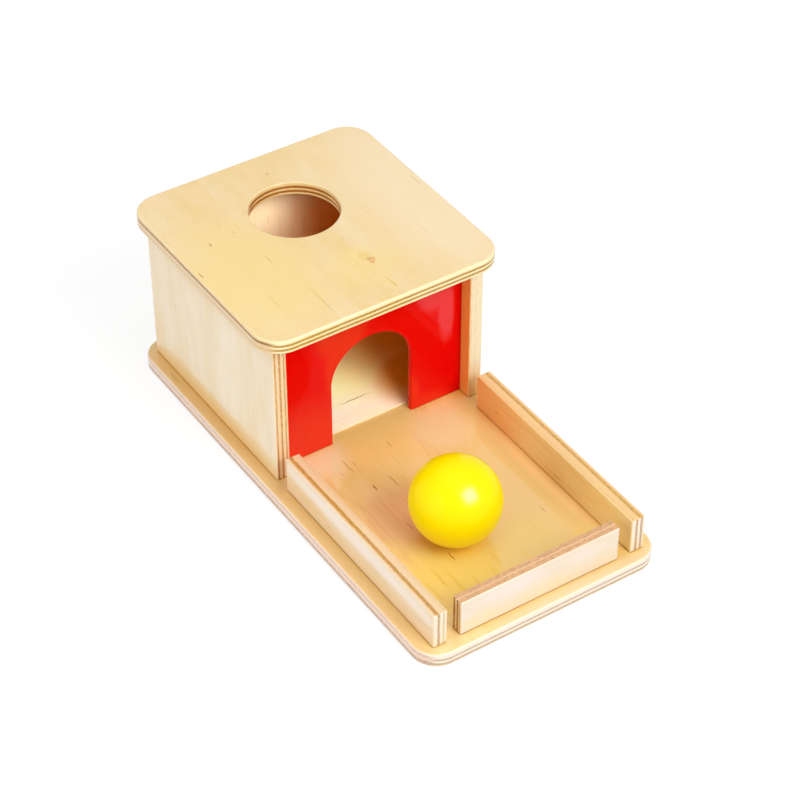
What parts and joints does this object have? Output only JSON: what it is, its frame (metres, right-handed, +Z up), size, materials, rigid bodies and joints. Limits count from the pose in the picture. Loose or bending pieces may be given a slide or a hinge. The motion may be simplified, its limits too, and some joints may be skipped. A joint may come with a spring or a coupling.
{
  "type": "object permanence box",
  "caption": "Plywood toy box with a round ball hole in its roof, a ramp inside and an arched doorway that lets the loose ball roll out onto a railed tray.",
  "frame": {"origin": "centre of the base board's underside, on the surface that the box stands on", "axes": "+X to the right seen from the tray end, +Y from the tray to the house, +Z up"},
  "size_m": [0.151, 0.302, 0.1115],
  "materials": {
    "birch_base": "satin clear lacquer",
    "birch_wall": "satin clear lacquer",
    "birch_roof": "satin clear lacquer",
    "birch_rail": "satin clear lacquer",
    "red_paint": "gloss paint",
    "yellow_paint": "gloss paint",
    "beech": "sanded",
    "zinc_steel": "zinc plated"
  },
  "bodies": {
    "box": {"base_board": "birch_base", "left_wall": "birch_wall", "right_wall": "birch_wall", "back_wall": "birch_wall", "front_panel": "red_paint", "roof_board": "birch_roof", "ramp_board": "birch_wall", "left_ramp_wedge": "beech", "right_ramp_wedge": "beech", "left_rail": "birch_rail", "right_rail": "birch_rail", "front_rail": "birch_rail", "base_screws": "zinc_steel", "roof_dowels": "beech", "corner_dowels": "beech"},
    "ball": {"ball": "yellow_paint"}
  },
  "joints": [
    {"name": "ball_roll", "type": "slide", "parent": "box", "child": "ball", "axis": [0.1099, 0.9939, 0], "range_m": [-0.029, 0.097]}
  ]
}
